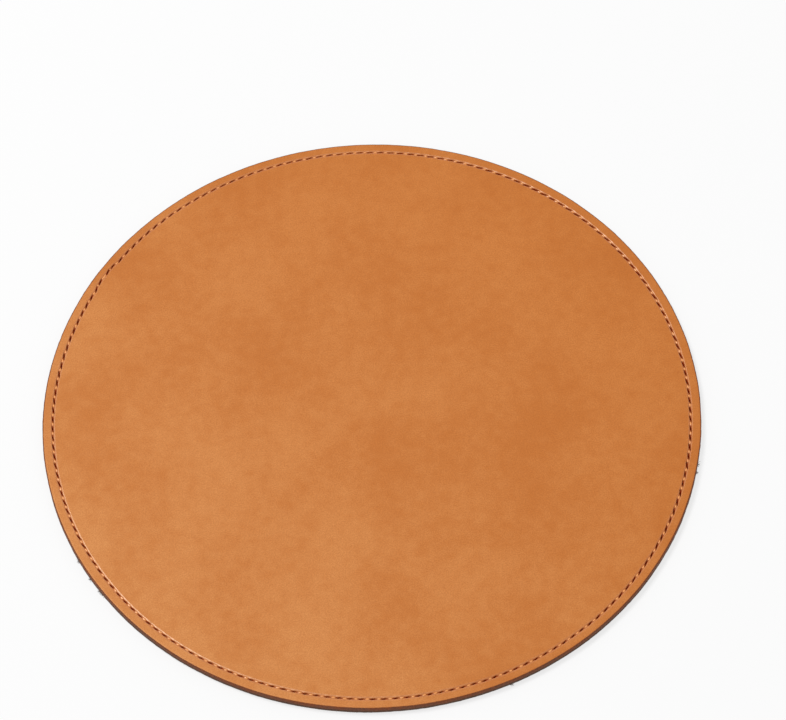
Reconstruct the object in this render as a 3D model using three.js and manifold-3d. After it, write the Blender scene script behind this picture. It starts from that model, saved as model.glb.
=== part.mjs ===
// Round leather mouse pad: a leather face and a suede backing, cemented together, sewn through near
// the edge with one thread in a saddle stitch, and dressed on the cut edge.
// Millimetres, +Z up, origin at the middle of the underside, +Y away from the user.

import * as THREE from 'three';
import { mergeGeometries, mergeVertices } from 'three/addons/utils/BufferGeometryUtils.js';
import Module from 'manifold-3d';

// Driving dimensions
const padDiameter = 220;
const faceThickness = 1.6;
const backingThickness = 1.5;
const arrisRadius = 0.3; // rounding of the face's top edge
const arrisSteps = 2;
const coatThickness = 0.15; // edge dressing on the cut edge
const coatLift = 0.25; // the dressing stops this far above the desk
const cementThickness = 0.1;
const cementInset = 6; // the cement stops this far from the edge, clear of the needle
const seamInset = 3.5; // from the edge to the seam line
const seamStart = 237.5; // degrees from -Y, where the two ends of the thread meet
const stitchPitch = 3.6;
const threadDiameter = 0.45;
const threadSides = 3;
const strandGap = 0.1; // between the two strands that share a slot
const threadClearance = 0.05; // between thread and leather
const grooveSlope = 0.25; // the stitch groove is this much wider on each side at the surface
const endGap = 0.3; // between the cut ends of the thread

// Overall sizes
const padRadius = padDiameter / 2;
const plyRadius = padRadius - coatThickness;
const faceUnderside = backingThickness + cementThickness;
const padThickness = faceUnderside + faceThickness;
const cementRadius = padRadius - cementInset;

// The seam. Its stitches are whole, three to each facet of the round, with as many facets on each half.
const seamRadius = padRadius - seamInset;
const stitchesToFacet = 3;
const facetsInHalf = Math.round((Math.PI * seamRadius) / (stitchesToFacet * stitchPitch));
const facets = 2 * facetsInHalf;
const facetSag = padRadius * (1 - Math.cos(Math.PI / facets));
const stitches = stitchesToFacet * facets;
const stitchAngle = (2 * Math.PI) / stitches;
const firstSlot = Math.round(THREE.MathUtils.degToRad(seamStart) / stitchAngle);

// The strands, slots and grooves
const threadRadius = threadDiameter / 2;
const strandOffset = (threadDiameter + strandGap) / 2;
const slotWidth = threadDiameter + 2 * threadClearance;
const slotLength = slotWidth + 2 * strandOffset;
const grooveDepth = threadDiameter + 2 * threadClearance;
const grooveFloor = slotLength / 2 + threadClearance + facetSag;
const grooveMouth = grooveFloor + grooveSlope;
const upperStitch = padThickness - grooveDepth / 2;
const lowerStitch = grooveDepth / 2;

const wasm = await Module();
wasm.setup();

// Merges shared corners and drops the empty triangles that a revolve leaves on its axis.
function weld(geometry) {
  geometry.deleteAttribute('normal');
  geometry.deleteAttribute('uv');
  const welded = mergeVertices(geometry);
  const corners = welded.index.array;
  const kept = [];
  for (let i = 0; i < corners.length; i += 3) {
    const [a, b, c] = corners.slice(i, i + 3);
    if (a !== b && b !== c && c !== a) {
      kept.push(a, b, c);
    }
  }
  welded.setIndex(kept);
  return welded;
}

function toSolid(geometry) {
  const mesh = new wasm.Mesh({
    numProp: 3,
    vertProperties: geometry.attributes.position.array,
    triVerts: Uint32Array.from(geometry.index.array),
  });
  return new wasm.Manifold(mesh);
}

function toGeometry(solid) {
  const mesh = solid.getMesh();
  const geometry = new THREE.BufferGeometry();
  geometry.setAttribute('position', new THREE.BufferAttribute(mesh.vertProperties, 3));
  geometry.setIndex(new THREE.BufferAttribute(mesh.triVerts, 1));
  return geometry;
}

// A solid of revolution about +Z. The profile is a list of [radius, height], up the outside. A facet's
// corner lies on -Y.
function revolve(profile) {
  const points = profile.map(([radius, height]) => new THREE.Vector2(radius, height));
  return weld(new THREE.LatheGeometry(points, facets).rotateX(Math.PI / 2));
}

// The angle from +X, with the slots spread evenly over each facet and clear of its corners.
function slotAngle(slot) {
  return (slot + 0.5) * stitchAngle - Math.PI / 2;
}

// The needle slots, square to the seam line and longer than the pad is thick.
function needleSlots() {
  const cuts = [];
  for (let slot = 0; slot < stitches; slot++) {
    const cut = new THREE.BoxGeometry(slotLength, slotWidth, 2 * padThickness);
    cut.translate(seamRadius, 0, padThickness / 2);
    cut.rotateZ(slotAngle(slot));
    cuts.push(cut);
  }
  return toSolid(weld(mergeGeometries(cuts)));
}

// The stitch groove's corners from the rim inwards, sunk by depth from a surface at that height.
function groove(surface, depth) {
  return [
    [seamRadius + grooveMouth, surface],
    [seamRadius + grooveFloor, surface - depth],
    [seamRadius - grooveFloor, surface - depth],
    [seamRadius - grooveMouth, surface],
  ];
}

function roundedArris() {
  const radius = Math.min(arrisRadius, faceThickness);
  const corner = [];
  for (let step = 0; step <= arrisSteps; step++) {
    const turn = (step / arrisSteps) * (Math.PI / 2);
    const inwards = radius * (1 - Math.cos(turn));
    const down = radius * (1 - Math.sin(turn));
    corner.push([plyRadius - inwards, padThickness - down]);
  }
  return corner;
}

function faceLeather(slots) {
  const ply = revolve([
    [0, faceUnderside],
    [plyRadius, faceUnderside],
    ...roundedArris(),
    ...groove(padThickness, grooveDepth),
    [0, padThickness],
  ]);
  return toGeometry(toSolid(ply).subtract(slots));
}

function backingSuede(slots) {
  const ply = revolve([
    [0, 0],
    ...groove(0, -grooveDepth).reverse(),
    [plyRadius, 0],
    [plyRadius, backingThickness],
    [0, backingThickness],
  ]);
  return toGeometry(toSolid(ply).subtract(slots));
}

function cementFilm() {
  return revolve([
    [0, backingThickness],
    [cementRadius, backingThickness],
    [cementRadius, faceUnderside],
    [0, faceUnderside],
  ]);
}

// The dressing covers the upright part of the cut edge and is feathered at both ends.
function edgeCoat() {
  const top = padThickness - Math.min(arrisRadius, faceThickness);
  return revolve([
    [plyRadius, coatLift],
    [padRadius, coatLift + coatThickness],
    [padRadius, top - coatThickness],
    [plyRadius, top],
    [plyRadius, coatLift],
  ]);
}

// One corner of the thread, at a slot, on its outer (1) or inner (-1) side of the seam line. The ring
// is mitred between an upright strand and a stitch: rise and lean are its slope up and along the seam.
function threadRing({ slot, side, height, rise, lean }) {
  const angle = slotAngle(firstSlot + slot);
  const outwards = new THREE.Vector3(Math.cos(angle), Math.sin(angle), 0);
  const mitre = new THREE.Vector3(-Math.sin(angle) * lean, Math.cos(angle) * lean, rise);
  const centre = outwards.clone().multiplyScalar(seamRadius + side * strandOffset);
  centre.z = height;
  const ring = [];
  for (let corner = 0; corner < threadSides; corner++) {
    const turn = (corner / threadSides) * 2 * Math.PI;
    const point = centre.clone();
    point.addScaledVector(outwards, threadRadius * Math.cos(turn));
    point.addScaledVector(mitre, threadRadius * Math.sin(turn));
    ring.push(point);
  }
  return ring;
}

// A strand that comes up on the outer side of its slot, or goes down on the inner side.
function strand(slot, goesUp, turn) {
  const lean = goesUp ? -turn : turn;
  const side = goesUp ? 1 : -1;
  const heights = goesUp ? [lowerStitch, upperStitch] : [upperStitch, lowerStitch];
  return heights.map((height) => threadRing({ slot, side, height, rise: turn, lean }));
}

// Half of the thread, from the first slot round to it again. The halves go up and down in turn, so
// that each slot holds one strand of each, and the middle of the thread stands in the first slot.
function threadHalf(upAtEvenSlots, turn) {
  const rings = [];
  for (let slot = 1; slot < stitches; slot++) {
    const goesUp = (slot % 2 === 0) === upAtEvenSlots;
    rings.push(...strand(slot, goesUp, turn));
  }
  const arrives = upAtEvenSlots ? lowerStitch : upperStitch;
  const lean = upAtEvenSlots ? -turn : turn;
  const end = padThickness / 2 + (upAtEvenSlots ? -endGap : endGap) / 2;
  const last = { slot: 0, side: -1, lean };
  rings.push(threadRing({ ...last, height: arrives, rise: turn }));
  rings.push(threadRing({ ...last, height: end, rise: 0 }));
  return rings;
}

// Joins a row of rings into a closed tube.
function loft(rings) {
  const positions = rings.flat().flatMap((point) => point.toArray());
  const index = [];
  for (let i = 0; i + 1 < rings.length; i++) {
    for (let corner = 0; corner < threadSides; corner++) {
      const next = (corner + 1) % threadSides;
      const [a, b] = [i * threadSides + corner, i * threadSides + next];
      const [c, d] = [a + threadSides, b + threadSides];
      index.push(a, c, b, b, c, d);
    }
  }
  const end = (rings.length - 1) * threadSides;
  for (let corner = 1; corner + 1 < threadSides; corner++) {
    index.push(0, corner, corner + 1);
    index.push(end, end + corner + 1, end + corner);
  }
  const geometry = new THREE.BufferGeometry();
  geometry.setAttribute('position', new THREE.Float32BufferAttribute(positions, 3));
  geometry.setIndex(index);
  return geometry;
}

function seamThread() {
  const middle = { slot: 0, side: 1 };
  return loft([
    ...threadHalf(false, -1).reverse(),
    threadRing({ ...middle, height: lowerStitch, rise: -1, lean: -1 }),
    threadRing({ ...middle, height: upperStitch, rise: 1, lean: -1 }),
    ...threadHalf(true, 1),
  ]);
}

function piece(name, geometry, color, roughness) {
  const material = new THREE.MeshStandardMaterial({ color, roughness, metalness: 0 });
  const mesh = new THREE.Mesh(geometry, material);
  mesh.name = name;
  return mesh;
}

const slots = needleSlots();
const pad = new THREE.Group();
pad.name = 'mouse_pad';
pad.add(
  piece('face_leather', faceLeather(slots), 0xc98147, 0.55),
  piece('cement_film', cementFilm(), 0xd8b27a, 0.4),
  piece('backing_suede', backingSuede(slots), 0x77604f, 0.95),
  piece('seam_thread', seamThread(), 0xd99a63, 0.6),
  piece('edge_coat', edgeCoat(), 0x7a4a2e, 0.65),
);

export default pad;
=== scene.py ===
"""Round leather mouse pad: leather face, suede backing, sewn seam and dressed edge, and its stage.

Metres, +Z up, origin at the middle of the underside, +Y away from the user.
"""

import math
import random

import bmesh
import bpy
from mathutils import Matrix, Vector, noise


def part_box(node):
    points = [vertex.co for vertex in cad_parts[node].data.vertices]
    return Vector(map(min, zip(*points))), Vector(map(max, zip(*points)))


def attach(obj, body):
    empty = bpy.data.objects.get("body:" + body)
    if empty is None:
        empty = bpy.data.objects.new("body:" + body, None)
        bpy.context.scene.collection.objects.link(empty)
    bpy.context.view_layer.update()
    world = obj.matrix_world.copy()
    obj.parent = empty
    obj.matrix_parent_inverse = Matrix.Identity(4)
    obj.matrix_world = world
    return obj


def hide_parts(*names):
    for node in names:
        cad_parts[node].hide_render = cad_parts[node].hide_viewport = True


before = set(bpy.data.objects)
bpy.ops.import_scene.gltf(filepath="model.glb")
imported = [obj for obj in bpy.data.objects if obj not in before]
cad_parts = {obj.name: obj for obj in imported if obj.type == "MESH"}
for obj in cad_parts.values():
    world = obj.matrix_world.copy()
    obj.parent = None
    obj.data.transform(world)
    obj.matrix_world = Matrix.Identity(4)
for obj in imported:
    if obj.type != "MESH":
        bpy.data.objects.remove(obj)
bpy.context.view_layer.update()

bl_info = {
    "name": "Round Leather Pad",
    "version": (1, 0, 0),
    "blender": (4, 5, 0),
    "location": "View3D > Sidebar > Leather Pad",
    "description": "Builds a round leather mouse pad with a sewn edge, and its studio stage",
    "category": "Object",
}

FACE_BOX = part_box("face_leather")
BACKING_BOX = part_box("backing_suede")
COAT_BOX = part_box("edge_coat")

MM = 0.001

STITCHES_TO_SECTOR = 6  # the round is spun in like sectors, each with these stitches
PLIES = 3  # of the sewing thread
MERGE_WITHIN = 0.005 * MM
SAME_PLACE = 0.01 * MM

# The cut edge strays from a true circle in slow waves and small nicks: how far, and how many.
RIM_WAVE, RIM_WAVES = 0.07 * MM, 11.0
RIM_NICK, RIM_NICKS = 0.04 * MM, 60.0
RIM_BAND = (1.2 * MM, 0.4 * MM)  # in from the rim, where the straying starts and is full

# The mesh near the seam, from the seam line
CLOSE_RINGS = 1.2 * MM  # half the width of the closely spaced rings
BRIDGE = 1.5 * MM  # between the close mesh of the seam and the coarse mesh of the middle
SEAM_BAND = 2.6 * MM  # the seam moves no corner beyond this
SURFACE_BAND = 0.3 * MM  # or this far from the sewn surface
DRIFT_BAND = (1.4 * MM, 2.5 * MM)  # where the seam's own drift fades out
RUBBED_BAND = (0.62 * MM, 0.88 * MM)  # where the gloss of the lips fades out
HOLE_EDGE = (0.10, 0.60)  # of the hole's mask, where the hole's painted shade and matt finish begin and are full


def number(name, description, default, **kind):
    """A number, with its unit or limits."""
    return bpy.props.FloatProperty(name=name, description=description, default=default, **kind)


def length(name, description, default):
    """A length in metres."""
    return number(name, description, default, precision=5, unit="LENGTH", subtype="DISTANCE")


def angle(name, description, degrees):
    """An angle, given in degrees and kept in radians."""
    return number(name, description, math.radians(degrees), unit="ROTATION", subtype="ANGLE")


def share(name, description, default):
    """A number from 0 to 1."""
    return number(name, description, default, min=0.0, max=1.0, subtype="FACTOR")


def colour(name, description, default):
    """A linear colour."""
    return bpy.props.FloatVectorProperty(
        name=name, description=description, default=default,
        size=3, min=0.0, max=1.0, subtype="COLOR",
    )


class PadSizes(bpy.types.PropertyGroup):
    """Sizes of the plies, the dressed edge and the seam."""

    ply_radius: length("Ply radius", "Radius of both plies", FACE_BOX[1].y)
    face_top: length("Face top", "Height of the working face", FACE_BOX[1].z)
    face_underside: length("Face underside", "Height of the face's flesh side", FACE_BOX[0].z)
    backing_top: length("Backing top", "Height of the backing's cemented side", BACKING_BOX[1].z)
    coat_radius: length("Coat radius", "Outer radius of the edge dressing", COAT_BOX[1].y)
    coat_low: length("Coat foot", "Height where the dressing begins", COAT_BOX[0].z)
    coat_high: length("Coat top", "Height where the dressing ends", COAT_BOX[1].z)
    seam_radius: length("Seam radius", "Radius of the seam line", 106.5 * MM)
    thread_radius: length("Thread radius", "Radius of the sewing thread", 0.22 * MM)
    strand_offset: length("Strand offset", "From the seam line to a strand in a hole", 0.16 * MM)
    hole_length: length("Hole length", "Length of a needle hole along the seam", 2.5 * MM)
    hole_width: length("Hole width", "Width of a needle hole", 0.56 * MM)
    hole_depth: length("Hole depth", "Depth of a needle hole below its groove", 0.9 * MM)
    groove_depth: length("Groove depth", "Depth of the groove that the thread pulls in", 0.45 * MM)
    slant: angle("Slant", "Turn of each needle hole from the seam line", 7.0)
    seam_end: angle("Seam end", "Where the seam meets its own start, from +X", 147.6)
    end_step: length("End step", "How far the last stitches stand outside the seam line", 0.55 * MM)
    stitches: bpy.props.IntProperty(
        name="Stitches", description="Stitches in the whole seam",
        default=186, min=12, subtype="UNSIGNED",
    )


class PadColours(bpy.types.PropertyGroup):
    """Colours of the leather, thread and dressing."""

    tan: colour("Tan", "Main colour of the leather face", (0.646, 0.207, 0.039))
    deep_tan: colour("Deep tan", "Clouds in the leather face", (0.523, 0.136, 0.015))
    # painted sheen: this paler tan stands in for the lamp's gloss on the front-left side of the face
    sheen_tan: colour("Pale tan", "Paler side of the leather face", (0.713, 0.285, 0.089))
    grain: colour("Grain", "Dips between the grains of the leather face", (0.400, 0.100, 0.016))
    # painted shade: the needle holes are coloured near black-red for the shade down in them
    hole: colour("Needle hole", "Bare fibres in a needle hole", (0.260, 0.016, 0.0005))
    # one thread in painted light and shade: its own pale colour on the crowns, partly a painted
    # highlight; painted shade down in the groove, and darker painted shade deep in the holes
    thread: colour("Thread", "Waxed thread on the crown of a stitch", (0.940, 0.380, 0.090))
    thread_groove_shade: colour("Low thread", "Thread down in its groove", (0.330, 0.070, 0.012))
    thread_shade: colour("Thread shade", "Thread deep in its hole", (0.240, 0.016, 0.0005))
    dressing: colour("Dressing", "Edge dressing on the face's cut edge", (0.290, 0.064, 0.009))
    dressing_low: colour("Low dressing", "Thin dressing on the suede's edge", (0.148, 0.062, 0.028))
    crease: colour("Crease", "Dips in the dressed edge", (0.050, 0.022, 0.011))
    suede: colour("Suede", "Main colour of the suede", (0.170, 0.110, 0.076))
    suede_dark: colour("Dark suede", "Suede brushed the other way", (0.110, 0.069, 0.047))
    cement: colour("Cement", "Dried contact cement", (0.620, 0.420, 0.200))


class StageSettings(bpy.types.PropertyGroup):
    """Camera, lamp and floor."""

    lens: number("Lens", "Focal length", 137.4, unit="CAMERA")
    elevation: angle("Elevation", "Camera's height above the horizon", 57.77)
    roll: angle("Roll", "Camera's turn about its own axis", 1.733)
    distance: length("Distance", "From the camera to its target", 1.0131)
    target: bpy.props.FloatVectorProperty(
        name="Target", description="Point that the camera looks at",
        default=(0.00770, 0.01946, 0.0032), size=3, unit="LENGTH", subtype="XYZ",
    )
    sky: share("Sky", "Strength of the even light from all round", 0.46)
    backdrop: share("Backdrop", "Brightness of the background that the camera sees", 0.842)
    key_watts: number("Key", "Power of the soft lamp at the back left", 41.4, unit="POWER")
    floor: colour("Floor", "Colour of the floor", (0.950, 0.950, 0.950))
    floor_glow: share("Floor glow", "Share of plain white in the floor that is seen", 0.74)


def clamp(value):
    """The value, kept from 0 to 1."""
    return min(1.0, max(0.0, value))


def smooth(start, end, value):
    """0 before start, 1 after end, and smooth between them."""
    t = clamp((value - start) / (end - start))
    return t * t * (3.0 - 2.0 * t)


def on_circle(turn):
    """The point of a circle of radius 1 at that angle from +X."""
    return Vector((math.cos(turn), math.sin(turn), 0.0))


def radius_of(spot):
    """How far a point is from the pad's axis."""
    return math.hypot(spot.x, spot.y)


def turn_of(spot):
    """Angle of a point round the pad's axis, from +X."""
    return math.atan2(spot.y, spot.x)


def move_out(corner, way):
    """Moves a corner straight out from the pad's axis."""
    reach, turn = radius_of(corner.co) + way, turn_of(corner.co)
    corner.co.x, corner.co.y = reach * math.cos(turn), reach * math.sin(turn)


def rim_wander(turn):
    """How far the cut edge strays from a true circle."""
    spot = on_circle(turn)
    return RIM_WAVE * noise.noise(spot * RIM_WAVES) + RIM_NICK * noise.noise(spot * RIM_NICKS)


class Seam:
    """The hand-guided seam: a line round the pad, its needle holes and the leather's height there."""

    # What differs from hole to hole: millimetres along and across, a share, and degrees
    SEED = 11
    ALONG = (-0.10, 0.10)
    ACROSS = (-0.05, 0.05)
    OPENNESS = (0.90, 1.06)
    SLANT = (-4.0, 4.0)

    # What differs round the pad: a side in degrees from -Y, how much less a hole has there, and the
    # cosines from that side where this starts and is full
    TIGHT_AT_BACK = (195.0, 0.30, 0.65, 1.0)
    SHORT_AT_FRONT = (352.0, 0.52, 0.45, 0.80)
    NARROW_AT_FRONT = (345.0, 0.16, -0.2, 0.4)

    # The seam's end, where the last hole stands back and the first goes on
    LAST_BACK = 0.75 * MM
    FIRST_ON = 0.35 * MM
    END_REACH = (1.1, 2.1)  # stitches from the end, where its step starts to fade and is gone

    # The inward drift of the seam line in millimetres and the phase of each part, and its shake
    OVAL, OVAL_PHASE = 0.20, math.radians(90.0)
    ASIDE, ASIDE_PHASE = 0.12, math.radians(50.0)
    SHAKE, SHAKES = 0.07, 6.0

    SQUARENESS = 4.0  # of a hole's outline: 2 is an ellipse

    # The groove: its mean pull, how far that puckers between the holes, its lip and its flanks
    PULL, PUCKER = 0.66, 0.34
    LIP_START, LIP_WIDTH, LIP_SHARE = 0.18 * MM, 0.50 * MM, 0.42
    FLANK, FLANK_SHARE = (0.10 * MM, 0.26 * MM), 0.58

    def __init__(self, sizes):
        self.sizes = sizes
        self.step = math.tau / sizes.stitches
        self.pitch = self.step * sizes.seam_radius
        chance = random.Random(self.SEED)
        holes = range(sizes.stitches)
        self.along = [chance.uniform(*self.ALONG) * MM for _ in holes]
        self.across = [chance.uniform(*self.ACROSS) * MM for _ in holes]
        openness = self.eased([chance.uniform(*self.OPENNESS) for _ in holes], *self.TIGHT_AT_BACK)
        lengths = [sizes.hole_length * opened for opened in openness]
        widths = [sizes.hole_width * opened for opened in openness]
        self.lengths = self.eased(lengths, *self.SHORT_AT_FRONT)
        self.widths = self.eased(widths, *self.NARROW_AT_FRONT)
        self.slants = [sizes.slant + math.radians(chance.uniform(*self.SLANT)) for _ in holes]
        last = self.nearest_hole(sizes.seam_end)
        self.along[last] -= self.LAST_BACK
        self.along[last + 1] += self.FIRST_ON

    def eased(self, values, side, less, start, full):
        """A value for each hole, made less for those that face a side of the pad."""
        turns = [(hole + 0.5) * self.step - math.radians(side) for hole in range(len(values))]
        shares = [1.0 - less * smooth(start, full, math.cos(turn)) for turn in turns]
        return [value * part for value, part in zip(values, shares)]

    def hole_turn(self, hole):
        """Angle of a needle hole from +X."""
        even = (hole + 0.5) * self.step - math.pi / 2.0
        return even + self.along[hole % self.sizes.stitches] / self.sizes.seam_radius

    def nearest_hole(self, turn):
        """The hole that an even seam has nearest to that angle."""
        return round((turn + math.pi / 2.0) / self.step - 0.5)

    def wander(self, turn):
        """How far the seam line strays outwards from its circle."""
        past = (turn - self.sizes.seam_end + math.pi) % math.tau - math.pi
        start, end = self.END_REACH
        stepped = 1.0 - smooth(start * self.step, end * self.step, abs(past))
        oval = -self.OVAL * math.cos(2.0 * turn - self.OVAL_PHASE)
        drift = oval - self.ASIDE * math.cos(turn - self.ASIDE_PHASE)
        shake = self.SHAKE * noise.noise(on_circle(turn) * self.SHAKES)
        return (drift + shake) * MM + self.sizes.end_step * stepped

    def past_hole(self, turn):
        """The nearest needle hole and the way past its middle along the seam."""
        hole = self.nearest_hole(turn)
        away = (turn - self.hole_turn(hole) + math.pi) % math.tau - math.pi
        return hole % self.sizes.stitches, away * self.sizes.seam_radius

    def hole_mask(self, turn, outwards):
        """1 in the middle of a needle hole and 0 on the leather between the holes."""
        hole, past = self.past_hole(turn)
        aside = outwards - self.across[hole]
        c, s = math.cos(self.slants[hole]), math.sin(self.slants[hole])
        u = (c * past - s * aside) / (0.5 * self.lengths[hole])
        w = (s * past + c * aside) / (0.5 * self.widths[hole])
        return math.exp(-(abs(u) ** self.SQUARENESS + abs(w) ** self.SQUARENESS))

    def groove(self, turn, outwards):
        """How far the thread pulls the leather down along the seam, from 0 to 1, least at each hole."""
        past = self.past_hole(turn)[1]
        pull = self.PULL - self.PUCKER * math.cos(math.tau * past / self.pitch)
        lip = 1.0 - clamp((abs(outwards) - self.LIP_START) / self.LIP_WIDTH)
        flank = 1.0 - smooth(*self.FLANK, abs(outwards))
        return self.LIP_SHARE * pull * lip + self.FLANK_SHARE * flank


def spin(bm, profile, sectors, steps, closed=False):
    """Turns a profile of (radius, height) points through one sector, and repeats that round +Z."""
    old = {*bm.verts, *bm.edges, *bm.faces}
    corners = [bm.verts.new((radius, 0.0, height)) for radius, height in profile]
    pairs = list(zip(corners, corners[1:]))
    if closed:
        pairs.append((corners[-1], corners[0]))
    edges = [bm.edges.new(pair) for pair in pairs]
    about = {"cent": (0, 0, 0), "axis": (0, 0, 1)}
    bmesh.ops.spin(bm, geom=corners + edges, angle=math.tau / sectors, steps=steps, **about)
    sector = [part for part in (*bm.verts, *bm.edges, *bm.faces) if part not in old]
    rest = math.tau * (sectors - 1) / sectors
    bmesh.ops.spin(bm, geom=sector, angle=rest, steps=sectors - 1, use_duplicate=True, **about)
    new = [corner for corner in bm.verts if corner not in old]
    bmesh.ops.remove_doubles(bm, verts=new, dist=MERGE_WITHIN)


def loop_at(bm, radius, height):
    """The open edges of a ring at that radius and height."""
    def is_there(corner):
        off = (radius_of(corner.co) - radius, corner.co.z - height)
        return max(map(abs, off)) < SAME_PLACE

    loose = [edge for edge in bm.edges if edge.is_boundary or edge.is_wire]
    found = [edge for edge in loose if all(map(is_there, edge.verts))]
    if not found:
        raise RuntimeError(f"no open ring at radius {radius} and height {height}")
    return found


def bridge(bm, height, fine, coarse):
    """Joins two open rings at a height."""
    edges = loop_at(bm, fine, height) + loop_at(bm, coarse, height)
    bmesh.ops.bridge_loops(bm, edges=edges)


def close_up(bm):
    """Merges what meets and turns every face outwards."""
    bmesh.ops.remove_doubles(bm, verts=bm.verts, dist=MERGE_WITHIN)
    bmesh.ops.recalc_face_normals(bm, faces=bm.faces)


def spread(start, end, count):
    """Evenly spaced numbers from start to end, with both."""
    return [start + (end - start) * i / count for i in range(count + 1)]


def rings(height, radii):
    """Points of a profile at one height."""
    return [(radius, height) for radius in radii]


def arc(centre_radius, centre_height, radius, start, end, count):
    """Points of an arc in a profile, from start to end degrees."""
    points = []
    for degrees in spread(start, end, count):
        turn = math.radians(degrees)
        points.append((centre_radius + radius * math.cos(turn), centre_height + radius * math.sin(turn)))
    return points


def new_mesh(bm, name):
    """The mesh of a finished bmesh."""
    mesh = bpy.data.meshes.new(name)
    bm.to_mesh(mesh)
    bm.free()
    return mesh


def new_object(name, data):
    """A new object in the scene."""
    made = bpy.data.objects.new(name, data)
    bpy.context.scene.collection.objects.link(made)
    return made


def place_piece(mesh, name, node, material):
    """Makes the object of a finished mesh, in place of its solid if it has one."""
    for face in mesh.polygons:
        face.use_smooth = True
    mesh.materials.clear()
    mesh.materials.append(material)
    piece = new_object(name, mesh)
    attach(piece, "root")
    if node:
        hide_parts(node)
    return piece


class Nodes:
    """Short words for building a node tree."""

    def __init__(self, tree):
        self.tree = tree

    def add(self, kind, **settings):
        node = self.tree.nodes.new(kind)
        for key, value in settings.items():
            setattr(node, key, value)
        return node

    def put(self, value, socket):
        """Links a socket, or sets a plain value."""
        if isinstance(value, bpy.types.NodeSocket):
            self.tree.links.new(value, socket)
        elif hasattr(value, "__len__") and len(value) == 3 and socket.type == "RGBA":
            socket.default_value = (*value, 1.0)
        else:
            socket.default_value = value

    def fill(self, sockets, values):
        """Links or sets sockets, by their names or numbers."""
        for socket, value in values.items():
            self.put(value, sockets[socket])

    def made(self, kind, values, **settings):
        """The outputs of a new node with its inputs filled."""
        node = self.add(kind, **settings)
        self.fill(node.inputs, values)
        return node.outputs

    def math(self, operation, a, b=0.0):
        return self.made("ShaderNodeMath", {0: a, 1: b}, operation=operation)[0]

    def vector(self, operation, *values):
        made = self.made("ShaderNodeVectorMath", dict(enumerate(values)), operation=operation)
        return made["Value" if operation == "DOT_PRODUCT" else "Vector"]

    def parts(self, vector):
        """The X, Y and Z of a vector."""
        return self.made("ShaderNodeSeparateXYZ", {0: vector})

    def remap(self, value, low=0.0, high=1.0, to_low=0.0, to_high=1.0):
        """Runs smoothly from one number to another while a value runs from low to high."""
        ends = {"From Min": low, "From Max": high, "To Min": to_low, "To Max": to_high}
        made = self.made("ShaderNodeMapRange", {"Value": value, **ends}, interpolation_type="SMOOTHSTEP")
        return made["Result"]

    def mix(self, factor, a, b):
        return self.made("ShaderNodeMix", {"Factor": factor, 6: a, 7: b}, data_type="RGBA")[2]

    def blend(self, a, share_a, b, share_b):
        """Two values, each by its share."""
        return self.math("ADD", self.math("MULTIPLY", a, share_a), self.math("MULTIPLY", b, share_b))

    def tint(self, base, over, mask, most):
        """Lays a colour over a base where a mask is, by that share at most."""
        return self.mix(self.math("MULTIPLY", mask, most), base, over)

    def noise(self, vector, scale, detail, roughness):
        given = {"Vector": vector, "Scale": scale, "Detail": detail, "Roughness": roughness}
        return self.made("ShaderNodeTexNoise", given)["Fac"]

    def attribute(self, name):
        return self.add("ShaderNodeAttribute", attribute_name=name).outputs["Fac"]

    def bump(self, height, strength, distance):
        given = {"Strength": strength, "Distance": distance, "Height": height}
        return self.made("ShaderNodeBump", given)["Normal"]

    def group(self, tree, **values):
        """Places a node group and gives its outputs."""
        named = {name.capitalize(): value for name, value in values.items()}
        return self.made("ShaderNodeGroup", named, node_tree=tree)


def new_group(name, inputs, outputs):
    """An empty node group for a place and some numbers: its node words, its inputs and its outputs."""
    tree = bpy.data.node_groups.new(name, "ShaderNodeTree")
    tree.interface.new_socket("Vector", in_out="INPUT", socket_type="NodeSocketVector")
    for way, labels in (("INPUT", inputs), ("OUTPUT", outputs)):
        for label in labels:
            tree.interface.new_socket(label, in_out=way, socket_type="NodeSocketFloat")
    nodes = Nodes(tree)
    return nodes, nodes.add("NodeGroupInput").outputs, nodes.add("NodeGroupOutput").inputs


def cloud_group():
    """Clouds of tone, as dye takes unevenly in a hide: broad patches with smaller ones in them."""
    found = bpy.data.node_groups.get("hide clouds")
    if found:
        return found
    nodes, given, out = new_group("hide clouds", ["Patches", "Flecks"], ["Tone"])
    patches = nodes.noise(given["Vector"], given["Patches"], detail=5.0, roughness=0.5)
    flecks = nodes.noise(given["Vector"], given["Flecks"], detail=4.0, roughness=0.6)
    both = nodes.blend(patches, 0.6, flecks, 0.4)
    nodes.put(nodes.remap(both, low=0.32, high=0.68), out["Tone"])
    return nodes.tree


def nap_group():
    """The fine surface of a hide: rounded grains with wavy creases between them, speckled with fibres."""
    found = bpy.data.node_groups.get("hide nap")
    if found:
        return found
    nodes, given, out = new_group("hide nap", ["Grains", "Fibres"], ["Height", "Creases", "Speckle"])
    sway_to_grain, grains_aside, speckle_to_fibre = 0.7, 1.6, 0.6
    sways = nodes.math("MULTIPLY", given["Grains"], sway_to_grain)
    sway = nodes.made("ShaderNodeTexNoise", {"Vector": given["Vector"], "Scale": sways})["Color"]
    aside = nodes.vector("SUBTRACT", sway, (0.5, 0.5, 0.5))
    reach = nodes.math("DIVIDE", grains_aside, given["Grains"])
    wavy = nodes.vector("MULTIPLY_ADD", aside, reach, given["Vector"])
    cells = {"Vector": wavy, "Scale": given["Grains"]}
    from_edge = nodes.made("ShaderNodeTexVoronoi", cells, feature="DISTANCE_TO_EDGE")["Distance"]
    rounded = nodes.remap(from_edge, low=0.0, high=0.35)
    fibres = nodes.noise(given["Vector"], given["Fibres"], detail=3.0, roughness=0.6)
    speckles = nodes.math("MULTIPLY", given["Fibres"], speckle_to_fibre)
    nodes.fill(out, {
        "Height": nodes.blend(rounded, 0.40, fibres, 0.60),
        "Creases": nodes.remap(from_edge, low=0.10, high=0.0),
        "Speckle": nodes.noise(wavy, speckles, detail=4.0, roughness=0.65),
    })
    return nodes.tree


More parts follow.
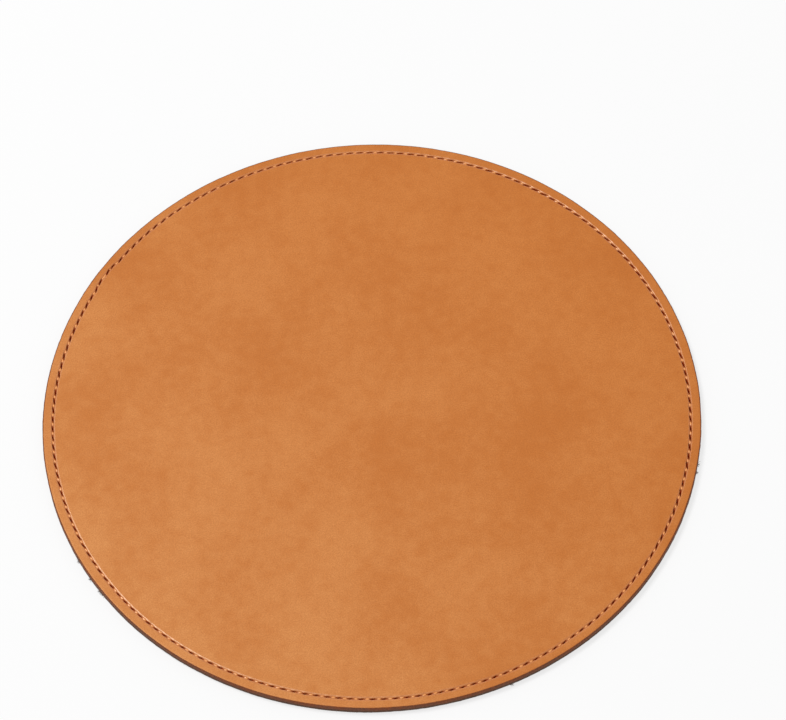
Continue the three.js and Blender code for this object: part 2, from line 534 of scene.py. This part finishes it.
def new_material(name):
    """A material, its node words, its shader's sockets and the Object coordinates."""
    material = bpy.data.materials.new(name)
    material.use_nodes = True
    nodes = Nodes(material.node_tree)
    shader = material.node_tree.nodes["Principled BSDF"]
    place = nodes.add("ShaderNodeTexCoord").outputs["Object"]
    return material, nodes, shader.inputs, place


def by_nap(nodes, nap, in_dips, on_tops):
    """A number that goes with the height of the nap."""
    return nodes.remap(nap["Height"], low=0.2, high=0.8, to_low=in_dips, to_high=on_tops)


def speckled(nodes, nap, base, over, pale, dark, most):
    """Speckles a colour with another, by that share at most."""
    return nodes.mix(nodes.remap(nap["Speckle"], low=pale, high=dark, to_high=most), base, over)


def face_material(colours):
    """Tan hide with a fine waxy nap, painted paler towards the front left as a sheen, with painted shade
    in the needle holes, and stained on the arris.
    """
    sheen_way = (-0.65, -0.76, 0.0)
    sheen_reach = 190.0 * MM
    material, nodes, shader, place = new_material("tan hide")
    tone = nodes.group(cloud_group(), vector=place, patches=26.0, flecks=240.0)["Tone"]
    nap = nodes.group(nap_group(), vector=place, grains=2100.0, fibres=4200.0)
    rubbed = nodes.attribute("burnished")
    # painted sheen: the face is made paler towards the front left, where the lamp's gloss falls
    side = nodes.vector("DOT_PRODUCT", place, sheen_way)
    paler = nodes.remap(side, low=-sheen_reach, high=sheen_reach)
    hide = nodes.mix(paler, colours.tan, colours.sheen_tan)
    hide = nodes.tint(hide, colours.deep_tan, tone, most=0.70)
    hide = speckled(nodes, nap, hide, colours.grain, pale=0.66, dark=0.34, most=0.50)
    hide = nodes.tint(hide, colours.grain, nap["Creases"], most=0.14)
    hide = nodes.tint(hide, colours.grain, rubbed, most=0.11)
    hide = nodes.mix(nodes.attribute("arris"), hide, colours.dressing)
    # the needle holes get painted shade, a dull finish and no coat
    in_hole = nodes.attribute("needle_hole")
    dull = nodes.remap(rubbed, to_low=0.46, to_high=0.38)
    worn = by_nap(nodes, nap, in_dips=dull, on_tops=0.32)
    wax = nodes.remap(rubbed, to_high=0.85)
    nodes.fill(shader, {
        "Base Color": nodes.mix(in_hole, hide, colours.hole),
        "Roughness": nodes.remap(in_hole, to_low=worn, to_high=0.90),
        "Normal": nodes.bump(nap["Height"], strength=0.25, distance=0.03 * MM),
        "Specular IOR Level": 0.60,
        "Specular Tint": (1.0, 0.72, 0.38),
        "Coat Weight": nodes.remap(in_hole, to_low=wax, to_high=0.0),
        "Coat Roughness": 0.36,
        "Sheen Weight": 0.06,
        "Sheen Roughness": 0.45,
        "Sheen Tint": (0.95, 0.72, 0.52),
    })
    return material


def suede_material(colours):
    """Grey-brown split with a short matt nap, brushed in patches, with painted shade in its needle holes.
    """
    material, nodes, shader, place = new_material("brushed suede")
    tone = nodes.group(cloud_group(), vector=place, patches=55.0, flecks=420.0)["Tone"]
    nap = nodes.group(nap_group(), vector=place, grains=3200.0, fibres=6800.0)
    split = nodes.mix(tone, colours.suede, colours.suede_dark)
    split = speckled(nodes, nap, split, colours.suede_dark, pale=0.64, dark=0.36, most=0.60)
    # painted shade in the needle holes
    split = nodes.mix(nodes.attribute("needle_hole"), split, colours.hole)
    nodes.fill(shader, {
        "Base Color": split,
        "Roughness": by_nap(nodes, nap, in_dips=0.98, on_tops=0.86),
        "Normal": nodes.bump(nap["Height"], strength=0.7, distance=0.05 * MM),
        "Specular IOR Level": 0.10,
        "Sheen Weight": 0.30,
        "Sheen Roughness": 0.40,
        "Sheen Tint": (0.62, 0.52, 0.45),
    })
    return material


def dressing_material(colours, sizes):
    """Brown edge dressing, redder on the hide's edge and thin and greyer over the suede's."""
    joint = sizes.face_underside + 0.12 * MM
    soft, ragged_by = 0.22 * MM, 0.25 * MM
    material, nodes, shader, place = new_material("edge dressing")
    height = nodes.parts(place)["Z"]
    tone = nodes.group(cloud_group(), vector=place, patches=130.0, flecks=900.0)["Tone"]
    nap = nodes.group(nap_group(), vector=place, grains=2600.0, fibres=4200.0)
    ragged = nodes.math("ADD", height, nodes.math("MULTIPLY", tone, ragged_by))
    hide_edge = nodes.remap(ragged, low=joint - soft, high=joint + soft)
    coat = nodes.mix(hide_edge, colours.dressing_low, colours.dressing)
    coat = nodes.tint(coat, colours.suede_dark, tone, most=0.50)
    coat = speckled(nodes, nap, coat, colours.crease, pale=0.62, dark=0.38, most=0.55)
    nodes.fill(shader, {
        "Base Color": coat,
        "Roughness": by_nap(nodes, nap, in_dips=0.78, on_tops=0.58),
        "Normal": nodes.bump(nap["Height"], strength=0.6, distance=0.06 * MM),
        "Specular IOR Level": 0.30,
    })
    return material


def thread_material(colours, sizes):
    """Waxed light tan thread of three twisted plies: pale on its crowns, partly as a painted highlight,
    with painted shade down in its groove, deeper where it dives into its holes, and between its plies.
    """
    middle = 0.5 * sizes.face_top
    material, nodes, shader, place = new_material("waxed thread")
    height = nodes.parts(place)["Z"]
    depth = nodes.math("ABSOLUTE", nodes.math("SUBTRACT", height, middle))
    # painted shade by height: the thread keeps its pale colour near the face and is shaded darker lower
    # down
    lit = nodes.remap(depth, low=1.24 * MM, high=1.42 * MM)
    crown = nodes.math("MULTIPLY", lit, nodes.attribute("crown"))
    nap = nodes.group(nap_group(), vector=place, grains=5200.0, fibres=9000.0)
    lay = nodes.parts(nodes.add("ShaderNodeUVMap", uv_map="UVMap").outputs["UV"])
    along = nodes.math("MULTIPLY", lay["X"], PLIES * sizes.stitches)
    around = nodes.math("MULTIPLY", lay["Y"], PLIES)
    turns = nodes.math("MULTIPLY", nodes.math("ADD", along, around), math.tau)
    plies = nodes.math("COSINE", turns)
    # painted shade in the valleys between the plies
    between = nodes.remap(plies, low=-0.2, high=-1.0, to_high=0.30)
    strand = nodes.mix(lit, colours.thread_shade, colours.thread_groove_shade)
    strand = nodes.mix(crown, strand, colours.thread)
    strand = nodes.mix(between, strand, colours.thread_shade)
    nodes.fill(shader, {
        "Base Color": strand,
        "Roughness": by_nap(nodes, nap, in_dips=0.52, on_tops=0.40),
        "Normal": nodes.bump(nap["Height"], strength=0.2, distance=0.02 * MM),
        "Specular IOR Level": 0.12,
        "Coat Weight": crown,
        "Coat Roughness": 0.30,
        "Coat IOR": 1.7,
    })
    return material


def cement_material(colours):
    """Dried contact cement, amber, brushed out in streaks."""
    streak, darker = (1.0, 6.0, 1.0), 0.7
    material, nodes, shader, place = new_material("dried cement")
    streaks = nodes.made("ShaderNodeMapping", {"Vector": place, "Scale": streak})[0]
    tone = nodes.group(cloud_group(), vector=streaks, patches=60.0, flecks=500.0)["Tone"]
    nodes.fill(shader, {
        "Base Color": nodes.mix(tone, colours.cement, [darker * part for part in colours.cement]),
        "Roughness": nodes.remap(tone, to_low=0.35, to_high=0.55),
        "Normal": nodes.bump(tone, strength=0.3, distance=0.03 * MM),
    })
    return material


def sectors(sizes):
    """Like sectors of the round, each with the same few stitches."""
    if sizes.stitches % STITCHES_TO_SECTOR:
        raise RuntimeError(f"the seam's stitches have to be a multiple of {STITCHES_TO_SECTOR}")
    return sizes.stitches // STITCHES_TO_SECTOR


def shape_rim(bm, sizes):
    """Lets the cut edge stray from a true circle."""
    start, full = (sizes.ply_radius - inwards for inwards in RIM_BAND)
    for corner in bm.verts:
        near = smooth(start, full, radius_of(corner.co))
        if near > 0.0:
            move_out(corner, near * rim_wander(turn_of(corner.co)))


def sink_seam(bm, seam, surface, groove_depth, hole_depth):
    """Sinks the groove and the needle holes into a ply's outer side, and marks both.

    Depths are negative on the upper side.
    """
    holes = bm.verts.layers.float.new("needle_hole")
    rubbed = bm.verts.layers.float.new("burnished")
    for corner in bm.verts:
        outwards = radius_of(corner.co) - seam.sizes.seam_radius
        if abs(outwards) > SEAM_BAND or abs(corner.co.z - surface) > SURFACE_BAND:
            continue
        turn = turn_of(corner.co)
        mask = seam.hole_mask(turn, outwards)
        corner.co.z += seam.groove(turn, outwards) * groove_depth + mask * hole_depth
        corner[holes] = smooth(*HOLE_EDGE, mask)
        corner[rubbed] = 1.0 - smooth(*RUBBED_BAND, abs(outwards))
        near = 1.0 - smooth(*DRIFT_BAND, abs(outwards))
        move_out(corner, near * seam.wander(turn))


class PAD_OT_face_leather(bpy.types.Operator):
    """Spin the leather face, sink its seam and dress it in tan hide"""

    bl_idname = "leather_pad.face_leather"
    bl_label = "Face leather"

    STEPS_TO_STITCH = 12
    ARRIS_STEPS = 5
    SEAM_RINGS, DISC_RINGS, FLESH_RINGS = 20, 6, 3
    MARGIN = (0.9 * MM, 1.5 * MM)  # its two rings, in from the rim and out from the seam line
    INSIDE = (1.6 * MM, 2.3 * MM, 3.4 * MM)  # rings of the close mesh, in from the seam line
    FOOT = 3.0 * MM  # the close mesh ends this far in from the rim on the flesh side
    STAIN = (0.32 * MM, 0.10 * MM)  # in from the rim, where the dressing's stain starts and is full
    FLESH_BAND = 0.1 * MM  # above the flesh side, which isn't stained

    def execute(self, context):
        sizes = context.scene.pad_sizes
        seam = Seam(sizes)
        top, under, rim = sizes.face_top, sizes.face_underside, sizes.ply_radius
        line = sizes.seam_radius
        arris = top - sizes.coat_high
        count = sectors(sizes)
        from_rim, from_seam = self.MARGIN
        inside = [line - inwards for inwards in self.INSIDE]
        inner, foot = inside[-1], rim - self.FOOT
        bm = bmesh.new()
        profile = [(foot, under), (rim, under), (rim, 0.5 * (under + top - arris))]
        profile += arc(rim - arris, top - arris, arris, 0.0, 90.0, self.ARRIS_STEPS)
        profile += rings(top, (rim - from_rim, line + from_seam))
        profile += rings(top, spread(line + CLOSE_RINGS, line - CLOSE_RINGS, self.SEAM_RINGS))
        profile += rings(top, inside)
        spin(bm, profile, count, self.STEPS_TO_STITCH * STITCHES_TO_SECTOR)
        disc, flesh = inner - BRIDGE, foot - BRIDGE
        spin(bm, rings(top, spread(disc, 0.0, self.DISC_RINGS)), count, STITCHES_TO_SECTOR)
        spin(bm, rings(under, spread(0.0, flesh, self.FLESH_RINGS)), count, STITCHES_TO_SECTOR)
        bridge(bm, top, inner, disc)
        bridge(bm, under, foot, flesh)
        close_up(bm)
        stained = bm.verts.layers.float.new("arris")
        start, full = (rim - inwards for inwards in self.STAIN)
        for corner in bm.verts:
            if corner.co.z > under + self.FLESH_BAND:
                corner[stained] = smooth(start, full, radius_of(corner.co))
        sink_seam(bm, seam, top, -sizes.groove_depth, -sizes.hole_depth)
        shape_rim(bm, sizes)
        mesh = new_mesh(bm, "leather_face")
        material = face_material(context.scene.pad_colours)
        piece = place_piece(mesh, "leather_face", "face_leather", material)
        return {"FINISHED"}


class PAD_OT_suede_backing(bpy.types.Operator):
    """Spin the suede backing, sink the seam's underside into it and brush its nap"""

    bl_idname = "leather_pad.suede_backing"
    bl_label = "Suede backing"

    STEPS_TO_STITCH = 8
    ARRIS, ARRIS_STEPS = 0.2 * MM, 3
    SEAM_RINGS, UNDER_RINGS, GLUED_RINGS = 14, 5, 3
    INSIDE = (3.0 * MM, 2.2 * MM)  # rings of the close mesh, in from the seam line
    OUTSIDE = 1.8 * MM  # its last ring before the arris, out from the seam line
    GROOVE_SHARE, HOLE_SHARE = 1.2, 0.6  # of the face's depths

    def execute(self, context):
        sizes = context.scene.pad_sizes
        seam = Seam(sizes)
        top, rim, line = sizes.backing_top, sizes.ply_radius, sizes.seam_radius
        arris = self.ARRIS
        count = sectors(sizes)
        inside = [line - inwards for inwards in self.INSIDE]
        inner = inside[0]
        bm = bmesh.new()
        close = spread(line + CLOSE_RINGS, line - CLOSE_RINGS, self.SEAM_RINGS)
        profile = rings(0.0, [*inside, *reversed(close), line + self.OUTSIDE])
        profile += arc(rim - arris, arris, arris, 270.0, 360.0, self.ARRIS_STEPS)
        profile += [(rim, 0.5 * top), (rim, top), (inner, top)]
        spin(bm, profile, count, self.STEPS_TO_STITCH * STITCHES_TO_SECTOR)
        coarse = inner - BRIDGE
        spin(bm, rings(0.0, spread(0.0, coarse, self.UNDER_RINGS)), count, STITCHES_TO_SECTOR)
        spin(bm, rings(top, spread(coarse, 0.0, self.GLUED_RINGS)), count, STITCHES_TO_SECTOR)
        bridge(bm, 0.0, inner, coarse)
        bridge(bm, top, inner, coarse)
        close_up(bm)
        groove, hole = self.GROOVE_SHARE * sizes.groove_depth, self.HOLE_SHARE * sizes.hole_depth
        sink_seam(bm, seam, 0.0, groove, hole)
        shape_rim(bm, sizes)
        mesh = new_mesh(bm, "suede_backing")
        material = suede_material(context.scene.pad_colours)
        piece = place_piece(mesh, "suede_backing", "backing_suede", material)
        return {"FINISHED"}


class PAD_OT_edge_dressing(bpy.types.Operator):
    """Brush the dressing onto the cut edge and over its arris, with a dent where the plies meet"""

    bl_idname = "leather_pad.edge_dressing"
    bl_label = "Edge dressing"

    STEPS_TO_STITCH = 6
    BAND_RINGS, INNER_STEPS = 3, 2
    FOOT = (0.02 * MM, 0.06 * MM, 0.2 * MM, 0.5 * MM)  # soaked in, then heights above the foot
    HALF_THICK = 0.5  # share of the full thickness at the second of these
    DENT, DENT_HALF = 0.6, 0.2 * MM  # share of the thickness, and half the dent's height
    BELOW_TOP = 0.15 * MM
    # Over the arris: degrees from level, and the share of the thickness that is left
    FEATHER = ((8.0, 0.85), (30.0, 0.60), (50.0, 0.35), (68.0, 0.03))
    UNDER_ARRIS, UNDER_FROM = 0.04 * MM, 60.0  # the inner side lies this deep in the hide, from here
    UNDER_JOINT = 0.06 * MM
    SKIN = 0.05 * MM  # the brushed bumps begin this far out of the plies
    # How far the bumps stand out in millimetres, and how close they are
    BROAD_BUMP, BROAD_BUMPS = 0.05, 900.0
    FINE_BUMP, FINE_BUMPS = 0.04, 2600.0

    def profile(self, sizes):
        """The coat's section, up its outer side, over the arris and down its inner side."""
        low, high, rim, out = sizes.coat_low, sizes.coat_high, sizes.ply_radius, sizes.coat_radius
        joint = 0.5 * (sizes.backing_top + sizes.face_underside)
        thick = out - rim
        arris = sizes.face_top - high
        soaked, *lifts = self.FOOT
        skin = [(rim - soaked, low), (rim + self.HALF_THICK * thick, low + lifts[0])]
        skin += [(out, low + lifts[1])]
        lower = spread(low + lifts[2], joint - self.DENT_HALF, self.BAND_RINGS)
        upper = spread(joint + self.DENT_HALF, high - self.BELOW_TOP, self.BAND_RINGS)
        skin += [(out, height) for height in lower]
        skin += [(out - self.DENT * thick, joint)]
        skin += [(out, height) for height in upper]
        for degrees, left in self.FEATHER:
            skin += arc(rim - arris, high, arris + left * thick, degrees, degrees, 1)[:1]
        skin += arc(rim - arris, high, arris - self.UNDER_ARRIS, self.UNDER_FROM, 0.0, self.INNER_STEPS)
        return skin + [(rim - self.UNDER_JOINT, joint)]

    def execute(self, context):
        sizes = context.scene.pad_sizes
        bm = bmesh.new()
        steps = self.STEPS_TO_STITCH * STITCHES_TO_SECTOR
        spin(bm, self.profile(sizes), sectors(sizes), steps, closed=True)
        close_up(bm)
        for corner in bm.verts:
            if radius_of(corner.co) > sizes.ply_radius + self.SKIN:
                bumps = self.BROAD_BUMP * noise.noise(corner.co * self.BROAD_BUMPS)
                bumps += self.FINE_BUMP * noise.noise(corner.co * self.FINE_BUMPS)
                corner.co += corner.co.xy.to_3d().normalized() * bumps * MM
        shape_rim(bm, sizes)
        mesh = new_mesh(bm, "edge_dressing")
        material = dressing_material(context.scene.pad_colours, sizes)
        place_piece(mesh, "edge_dressing", "edge_coat", material)
        return {"FINISHED"}


class PAD_OT_seam_thread(bpy.types.Operator):
    """Sew the thread through both plies in a saddle stitch"""

    bl_idname = "leather_pad.seam_thread"
    bl_label = "Seam thread"

    TOP_RINGS, LOW_RINGS = 26, 14
    SIDES = 4  # Blender's bevel resolution
    TOP_CROWN, LOW_CROWN = 0.31 * MM, 0.33 * MM  # the thread's middle, in from each face of the pad
    # The stitch falls from its crown to its holes, slowly and then steeply: share and power
    SLOW_FALL, STEEP_FALL = (0.35, 2), (0.65, 8)
    LEAST_FULL, FULLER = 0.85, 0.45  # share of the thread's radius in a hole, and more on a crown
    RIDGE = 0.04 * MM  # how far a ply stands out
    CROWN = (0.27, 0.45)  # of the pitch from a hole, where the thread's own pale colour, kept short as a painted highlight, starts and is full

    def stitch(self, seam, hole, above):
        """Points of one stitch from a hole to the next, over or under the pad, fuller at its crown."""
        sizes = seam.sizes
        middle = 0.5 * sizes.face_top
        crown = sizes.face_top - self.TOP_CROWN if above else self.LOW_CROWN
        side = 1.0 if above else -1.0
        count = self.TOP_RINGS if above else self.LOW_RINGS
        start, end = seam.hole_turn(hole), seam.hole_turn(hole + 1)
        if end < start:
            end += math.tau
        (slow, slow_power), (steep, steep_power) = self.SLOW_FALL, self.STEEP_FALL
        points = []
        for ring in range(count):
            swing = math.cos(math.pi * ring / count)
            lift = 1.0 - slow * swing ** slow_power - steep * swing ** steep_power
            along = start + (end - start) * 0.5 * (1.0 - swing)
            radius = sizes.seam_radius + seam.wander(along) + side * swing * sizes.strand_offset
            spot = on_circle(along) * radius
            spot.z = middle + (crown - middle) * lift
            points.append((spot, self.LEAST_FULL + self.FULLER * lift))
        return points

    def twist(self, mesh, sizes):
        """Raises the thread's plies, which wind round it."""
        lay = [None] * len(mesh.vertices)
        for corner, spot in zip(mesh.loops, mesh.uv_layers["UVMap"].data):
            lay[corner.vertex_index] = spot.uv.copy()
        outwards = [corner.normal.copy() for corner in mesh.vertices]
        for corner, (along, around), way in zip(mesh.vertices, lay, outwards):
            ridge = math.cos(math.tau * PLIES * (sizes.stitches * along + around))
            corner.co += way * (self.RIDGE * ridge)

    def mark_crowns(self, mesh, seam):
        """Marks the thread between the holes, where it comes up into the light."""
        start, full = (part * seam.pitch for part in self.CROWN)
        crowns = mesh.attributes.new("crown", "FLOAT", "POINT")
        for corner, mark in zip(mesh.vertices, crowns.data):
            away = abs(seam.past_hole(turn_of(corner.co))[1])
            mark.value = smooth(start, full, away)

    def execute(self, context):
        sizes = context.scene.pad_sizes
        seam = Seam(sizes)
        line = bpy.data.curves.new("seam_thread_path", "CURVE")
        line.dimensions = "3D"
        line.bevel_depth = sizes.thread_radius
        line.bevel_resolution = self.SIDES
        for half in range(2):
            points = []
            for hole in range(sizes.stitches):
                points += self.stitch(seam, hole, (hole + half) % 2 == 0)
            strand = line.splines.new("POLY")
            strand.points.add(len(points) - 1)
            for point, (spot, fullness) in zip(strand.points, points):
                point.co = (*spot, 1.0)
                point.radius = fullness
            strand.use_cyclic_u = True
        path = bpy.data.objects.new("seam_thread_path", line)
        mesh = bpy.data.meshes.new_from_object(path)
        bpy.data.objects.remove(path)
        mesh.name = "seam_thread"
        self.twist(mesh, sizes)
        self.mark_crowns(mesh, seam)
        material = thread_material(context.scene.pad_colours, sizes)
        place_piece(mesh, "sewn_thread", "seam_thread", material)
        return {"FINISHED"}


class PAD_OT_rim_fibres(bpy.types.Operator):
    """Raise loose fibres from the suede's cut edge"""

    bl_idname = "leather_pad.rim_fibres"
    bl_label = "Rim fibres"

    SEED = 5
    SIDES, TIP = 3, 0.3  # of a fibre, and its tip's share of its thickness
    LEAN_ALONG, LEAN_UP = (-0.9, 0.9), (-0.15, 0.25)
    # How many, and their heights, lengths and thickness in millimetres
    FINE_COUNT, FINE = 700, ((0.08, 1.2), (0.15, 0.40), 0.018)
    TUFT_COUNT, TUFT = 16, ((0.15, 0.7), (0.30, 0.95), 0.06)
    TUFTS = (208.6, 212.7, 215.5, 216.2, 347.8, 346.2, 292.5)  # degrees from +X
    TUFT_SPREAD = 0.16  # degrees

    def fibre(self, bm, chance, turn, heights, lengths, thick):
        """One straight fibre that leans away from the edge."""
        sizes = bpy.context.scene.pad_sizes
        height, reach = chance.uniform(*heights) * MM, chance.uniform(*lengths) * MM
        thickness = thick * MM
        lean = Vector((chance.uniform(*self.LEAN_ALONG), 1.0, chance.uniform(*self.LEAN_UP))).normalized()
        outwards = on_circle(turn)
        across = Vector((-outwards.y, outwards.x, 0.0))
        heading = across * lean.x + outwards * lean.y + Vector((0, 0, lean.z))
        root = outwards * (sizes.ply_radius + rim_wander(turn)) + Vector((0, 0, height))
        spot = root + heading * (0.5 * reach)
        aim = heading.to_track_quat("Z", "Y").to_matrix().to_4x4()
        bmesh.ops.create_cone(
            bm, cap_ends=True, segments=self.SIDES, radius1=thickness, radius2=self.TIP * thickness,
            depth=reach, matrix=Matrix.Translation(spot) @ aim,
        )

    def execute(self, context):
        chance = random.Random(self.SEED)
        bm = bmesh.new()
        for _ in range(self.FINE_COUNT):
            self.fibre(bm, chance, chance.uniform(0.0, math.tau), *self.FINE)
        for degrees in self.TUFTS:
            for _ in range(self.TUFT_COUNT):
                turn = math.radians(degrees + chance.gauss(0.0, self.TUFT_SPREAD))
                self.fibre(bm, chance, turn, *self.TUFT)
        close_up(bm)
        mesh = new_mesh(bm, "rim_fibres")
        place_piece(mesh, "rim_fibres", None, bpy.data.materials["edge dressing"])
        return {"FINISHED"}


class PAD_OT_cement_film(bpy.types.Operator):
    """Give the film of cement between the plies its finish"""

    bl_idname = "leather_pad.cement_film"
    bl_label = "Cement film"

    def execute(self, context):
        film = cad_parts["cement_film"]
        material = cement_material(context.scene.pad_colours)
        if not film.material_slots:
            raise RuntimeError("the cement film has no material slot")
        for holder in film.material_slots:
            holder.material = material
        return {"FINISHED"}


class PAD_OT_stage(bpy.types.Operator):
    """Lay the floor and set the lamp and the camera"""

    bl_idname = "leather_pad.stage"
    bl_label = "Stage"

    FLOOR_HALF, FLOOR_DROP = 6.0, 0.02 * MM  # half its width, and how far it lies below the pad
    FLOOR_ROUGHNESS = 0.9
    PAPER_WHITE = (0.985, 0.985, 0.985)
    KEY_SIZE = 0.90
    KEY_PLACE = (-1.030, 0.500, 2.335)
    SENSOR = 36.0  # millimetres

    def lay_floor(self, stage):
        bm = bmesh.new()
        bmesh.ops.create_grid(bm, x_segments=1, y_segments=1, size=self.FLOOR_HALF)
        bmesh.ops.translate(bm, verts=bm.verts, vec=(0.0, 0.0, -self.FLOOR_DROP))
        mesh = new_mesh(bm, "floor")
        mesh.materials.append(self.floor_material(stage))
        floor = new_object("floor", mesh)

    def floor_material(self, stage):
        """Pale matt paper, seen a little lighter than it is, with the pad's shadow kept."""
        material, nodes, shader, _ = new_material("pale floor")
        matt = {"Base Color": stage.floor, "Roughness": self.FLOOR_ROUGHNESS, "Specular IOR Level": 0.0}
        nodes.fill(shader, matt)
        given = material.node_tree.nodes
        paper = given["Principled BSDF"].outputs[0]
        white = nodes.made("ShaderNodeEmission", {"Color": self.PAPER_WHITE})[0]
        glow = nodes.math("MULTIPLY", self.seen_directly(nodes), stage.floor_glow)
        both = nodes.made("ShaderNodeMixShader", {0: glow, 1: paper, 2: white})[0]
        nodes.put(both, given["Material Output"].inputs["Surface"])
        return material

    def seen_directly(self, nodes):
        """1 for a ray from the camera, a mirror or glass, and 0 for one that lights the pad."""
        path = nodes.add("ShaderNodeLightPath").outputs
        seen = nodes.math("MAXIMUM", path["Is Camera Ray"], path["Is Glossy Ray"])
        return nodes.math("MAXIMUM", seen, path["Is Transmission Ray"])

    def light(self, stage):
        world = bpy.data.worlds.new("studio")
        world.use_nodes = True
        nodes = Nodes(world.node_tree)
        back = world.node_tree.nodes["Background"].inputs
        seen = self.seen_directly(nodes)
        strength = nodes.remap(seen, to_low=stage.sky, to_high=stage.backdrop)
        nodes.fill(back, {"Color": (1.0, 1.0, 1.0), "Strength": strength})
        bpy.context.scene.world = world
        lamp = bpy.data.lights.new("key", "AREA")
        lamp.shape = "SQUARE"
        lamp.size = self.KEY_SIZE
        lamp.energy = stage.key_watts
        key = new_object("key", lamp)
        key.location = self.KEY_PLACE
        key.rotation_euler = (-key.location).to_track_quat("-Z", "Y").to_euler()

    def set_camera(self, stage):
        back = Vector((0.0, -math.cos(stage.elevation), math.sin(stage.elevation)))
        right = Vector((1.0, 0.0, 0.0))
        up = back.cross(right)
        turned_right = right * math.cos(stage.roll) - up * math.sin(stage.roll)
        turned_up = up * math.cos(stage.roll) + right * math.sin(stage.roll)
        axes = Matrix((turned_right, turned_up, back)).transposed().to_4x4()
        data = bpy.data.cameras.new("camera")
        data.lens = stage.lens
        data.sensor_width = self.SENSOR
        camera = new_object("camera", data)
        camera.matrix_world = Matrix.Translation(Vector(stage.target) + back * stage.distance) @ axes
        bpy.context.scene.camera = camera

    def execute(self, context):
        stage = context.scene.pad_stage
        self.lay_floor(stage)
        self.light(stage)
        self.set_camera(stage)
        context.scene.view_settings.view_transform = "Standard"
        return {"FINISHED"}


class PAD_PT_sidebar(bpy.types.Panel):
    """The pad's sizes, colours, stage and pieces"""

    bl_idname = "PAD_PT_sidebar"
    bl_label = "Leather Pad"
    bl_space_type = "VIEW_3D"
    bl_region_type = "UI"
    bl_category = "Leather Pad"

    def draw(self, context):
        scene = context.scene
        for settings in (scene.pad_sizes, scene.pad_colours, scene.pad_stage):
            box = self.layout.box()
            for name in settings.__annotations__:
                box.prop(settings, name)
        for piece in OPERATORS:
            self.layout.operator(piece.bl_idname)


OPERATORS = (
    PAD_OT_stage,
    PAD_OT_suede_backing,
    PAD_OT_cement_film,
    PAD_OT_face_leather,
    PAD_OT_seam_thread,
    PAD_OT_edge_dressing,
    PAD_OT_rim_fibres,
)
CLASSES = (PadSizes, PadColours, StageSettings, *OPERATORS, PAD_PT_sidebar)


def register():
    for each in CLASSES:
        bpy.utils.register_class(each)
    bpy.types.Scene.pad_sizes = bpy.props.PointerProperty(type=PadSizes)
    bpy.types.Scene.pad_colours = bpy.props.PointerProperty(type=PadColours)
    bpy.types.Scene.pad_stage = bpy.props.PointerProperty(type=StageSettings)


def unregister():
    del bpy.types.Scene.pad_stage
    del bpy.types.Scene.pad_colours
    del bpy.types.Scene.pad_sizes
    for each in reversed(CLASSES):
        bpy.utils.unregister_class(each)


def main():
    register()
    bpy.ops.leather_pad.stage()
    bpy.ops.leather_pad.suede_backing()
    bpy.ops.leather_pad.cement_film()
    bpy.ops.leather_pad.face_leather()
    bpy.ops.leather_pad.seam_thread()
    bpy.ops.leather_pad.edge_dressing()
    bpy.ops.leather_pad.rim_fibres()


if __name__ == "__main__":
    main()
